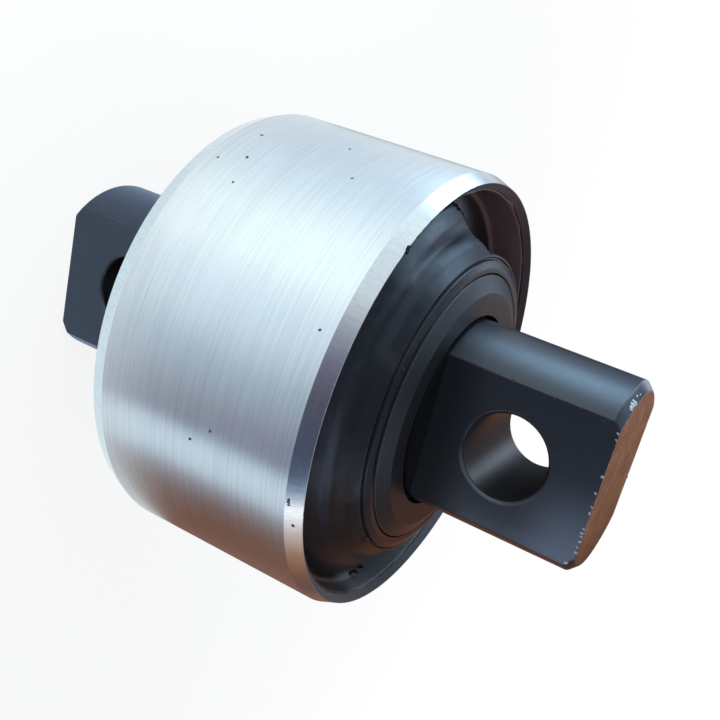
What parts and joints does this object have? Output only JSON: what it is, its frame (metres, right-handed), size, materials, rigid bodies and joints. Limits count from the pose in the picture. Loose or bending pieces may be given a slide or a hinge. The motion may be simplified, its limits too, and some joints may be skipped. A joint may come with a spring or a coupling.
{
  "type": "rubber metal bush",
  "caption": "Bonded rubber bush: a turned steel sleeve round a rubber body and hub, with a cross bar through it whose flattened ends are drilled for bolts.",
  "frame": {"origin": "centre of the bush, on the bar's axis, halfway along the sleeve", "axes": "+Z along the cross bar, +Y through the bolt holes and square to the milled flats, +X across the flats; it stands on the bar's lower end"},
  "size_m": [0.085, 0.085, 0.118],
  "materials": {
    "turned_steel": "bright turned",
    "moulded_rubber": "satin",
    "coated_hub": "satin black",
    "painted_bar": "semi-gloss black, bare on the end faces"
  },
  "bodies": {
    "root": {"outer_sleeve": "turned_steel", "rubber_body": "moulded_rubber", "hub": "coated_hub", "cross_bar": "painted_bar"}
  },
  "joints": []
}
